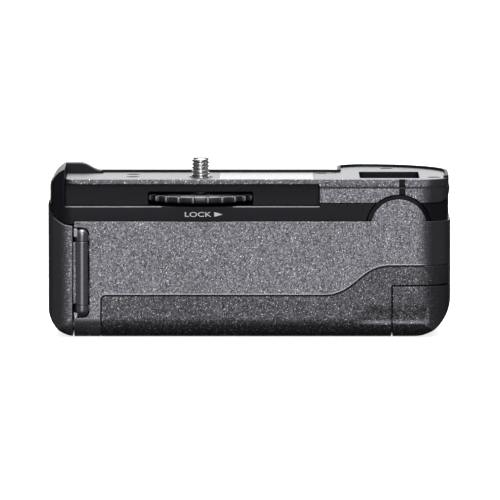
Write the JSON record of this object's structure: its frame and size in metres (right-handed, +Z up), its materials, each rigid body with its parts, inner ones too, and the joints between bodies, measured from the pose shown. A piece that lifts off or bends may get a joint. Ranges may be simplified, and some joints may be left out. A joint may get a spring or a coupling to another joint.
{
  "type": "camera battery grip",
  "caption": "Camera battery grip: a hand-grip body with a camera seat, ribbed lock wheel and tripod screw, hinged battery door, battery magazine and portrait release.",
  "frame": {"origin": "middle of the footprint, on the plane that the base rests on", "axes": "+Z up, the rear with the lock wheel to -Y, +X to the right seen from the rear"},
  "size_m": [0.14, 0.066, 0.0618],
  "materials": {
    "speckled_plastic": "sprayed speckle texture",
    "smooth_plastic": "fine satin",
    "grip_rubber": "dark textured grip",
    "seat_metal": "satin black paint",
    "pad_gloss": "gloss",
    "wheel_plastic": "ribbed, satin",
    "bright_steel": "turned, bright",
    "black_screw": "black oxide",
    "inner_plastic": "plain",
    "brass": "plated",
    "circuit_board": "solder mask",
    "flex_film": "film",
    "foam": "open foam",
    "cell_can": "printed can, plain bands"
  },
  "bodies": {
    "grip": {"rear_cover": "speckled_plastic", "front_cover": "speckled_plastic", "release_housing": "grip_rubber", "rear_grip_cover": "grip_rubber", "hand_grip_rubber": "grip_rubber", "top_frame": "smooth_plastic", "upper_trim": "speckled_plastic", "top_plate": "seat_metal", "seat_pad": "pad_gloss", "top_plate_screws": "black_screw", "contact_block": "inner_plastic", "contact_pins": "brass", "main_board": "circuit_board", "board_screws": "black_screw", "wheel_bush": "brass", "base_plate": "bright_steel", "base_screws": "black_screw", "tripod_socket": "brass", "hinge_pin": "bright_steel", "hinge_leaves": "bright_steel", "battery_chamber": "inner_plastic", "chamber_end_plate": "inner_plastic", "chamber_terminals": "brass", "release_switch": "inner_plastic", "switch_board": "circuit_board", "release_flex": "flex_film"},
    "attach_screw": {"lock_wheel": "wheel_plastic", "tripod_screw": "bright_steel", "screw_clip": "bright_steel"},
    "door": {"battery_door": "speckled_plastic", "door_pad": "foam"},
    "latch": {"door_latch": "smooth_plastic"},
    "magazine": {"magazine_frame": "inner_plastic", "magazine_links": "brass", "magazine_terminals": "brass", "aa_cell_1": "cell_can", "aa_cell_2": "cell_can", "aa_cell_3": "cell_can", "aa_cell_4": "cell_can", "aa_cell_5": "cell_can", "aa_cell_6": "cell_can", "aa_cell_7": "cell_can", "aa_cell_8": "cell_can"},
    "release": {"release_button": "smooth_plastic"},
    "collar": {"release_collar": "smooth_plastic"}
  },
  "joints": [
    {"name": "wheel_turn", "type": "hinge", "parent": "grip", "child": "attach_screw", "pos_m": [-0.017, -0.0145, 0.048], "axis": [0, 0, 1], "continuous": true},
    {"name": "door_hinge", "type": "hinge", "parent": "grip", "child": "door", "pos_m": [-0.0581, -0.0283, 0.0225], "axis": [0, 0, 1], "range_deg": [0, 105]},
    {"name": "magazine_slide", "type": "slide", "parent": "grip", "child": "magazine", "axis": [-1, 0, 0], "range_m": [0, 0.0092]},
    {"name": "latch_slide", "type": "slide", "parent": "door", "child": "latch", "axis": [0, 0, 1], "range_m": [0, 0.003]},
    {"name": "release_press", "type": "slide", "parent": "grip", "child": "release", "axis": [-1, 0, 0], "range_m": [0, 0.0012], "stiffness_N_per_m": 500},
    {"name": "collar_turn", "type": "hinge", "parent": "grip", "child": "collar", "pos_m": [0.067, 0.014, 0.0146], "axis": [1, 0, 0], "range_deg": [0, 35]}
  ],
  "couplings": [
    {"joint": "door_hinge", "follows": "magazine_slide", "rad_per_m": 199}
  ]
}
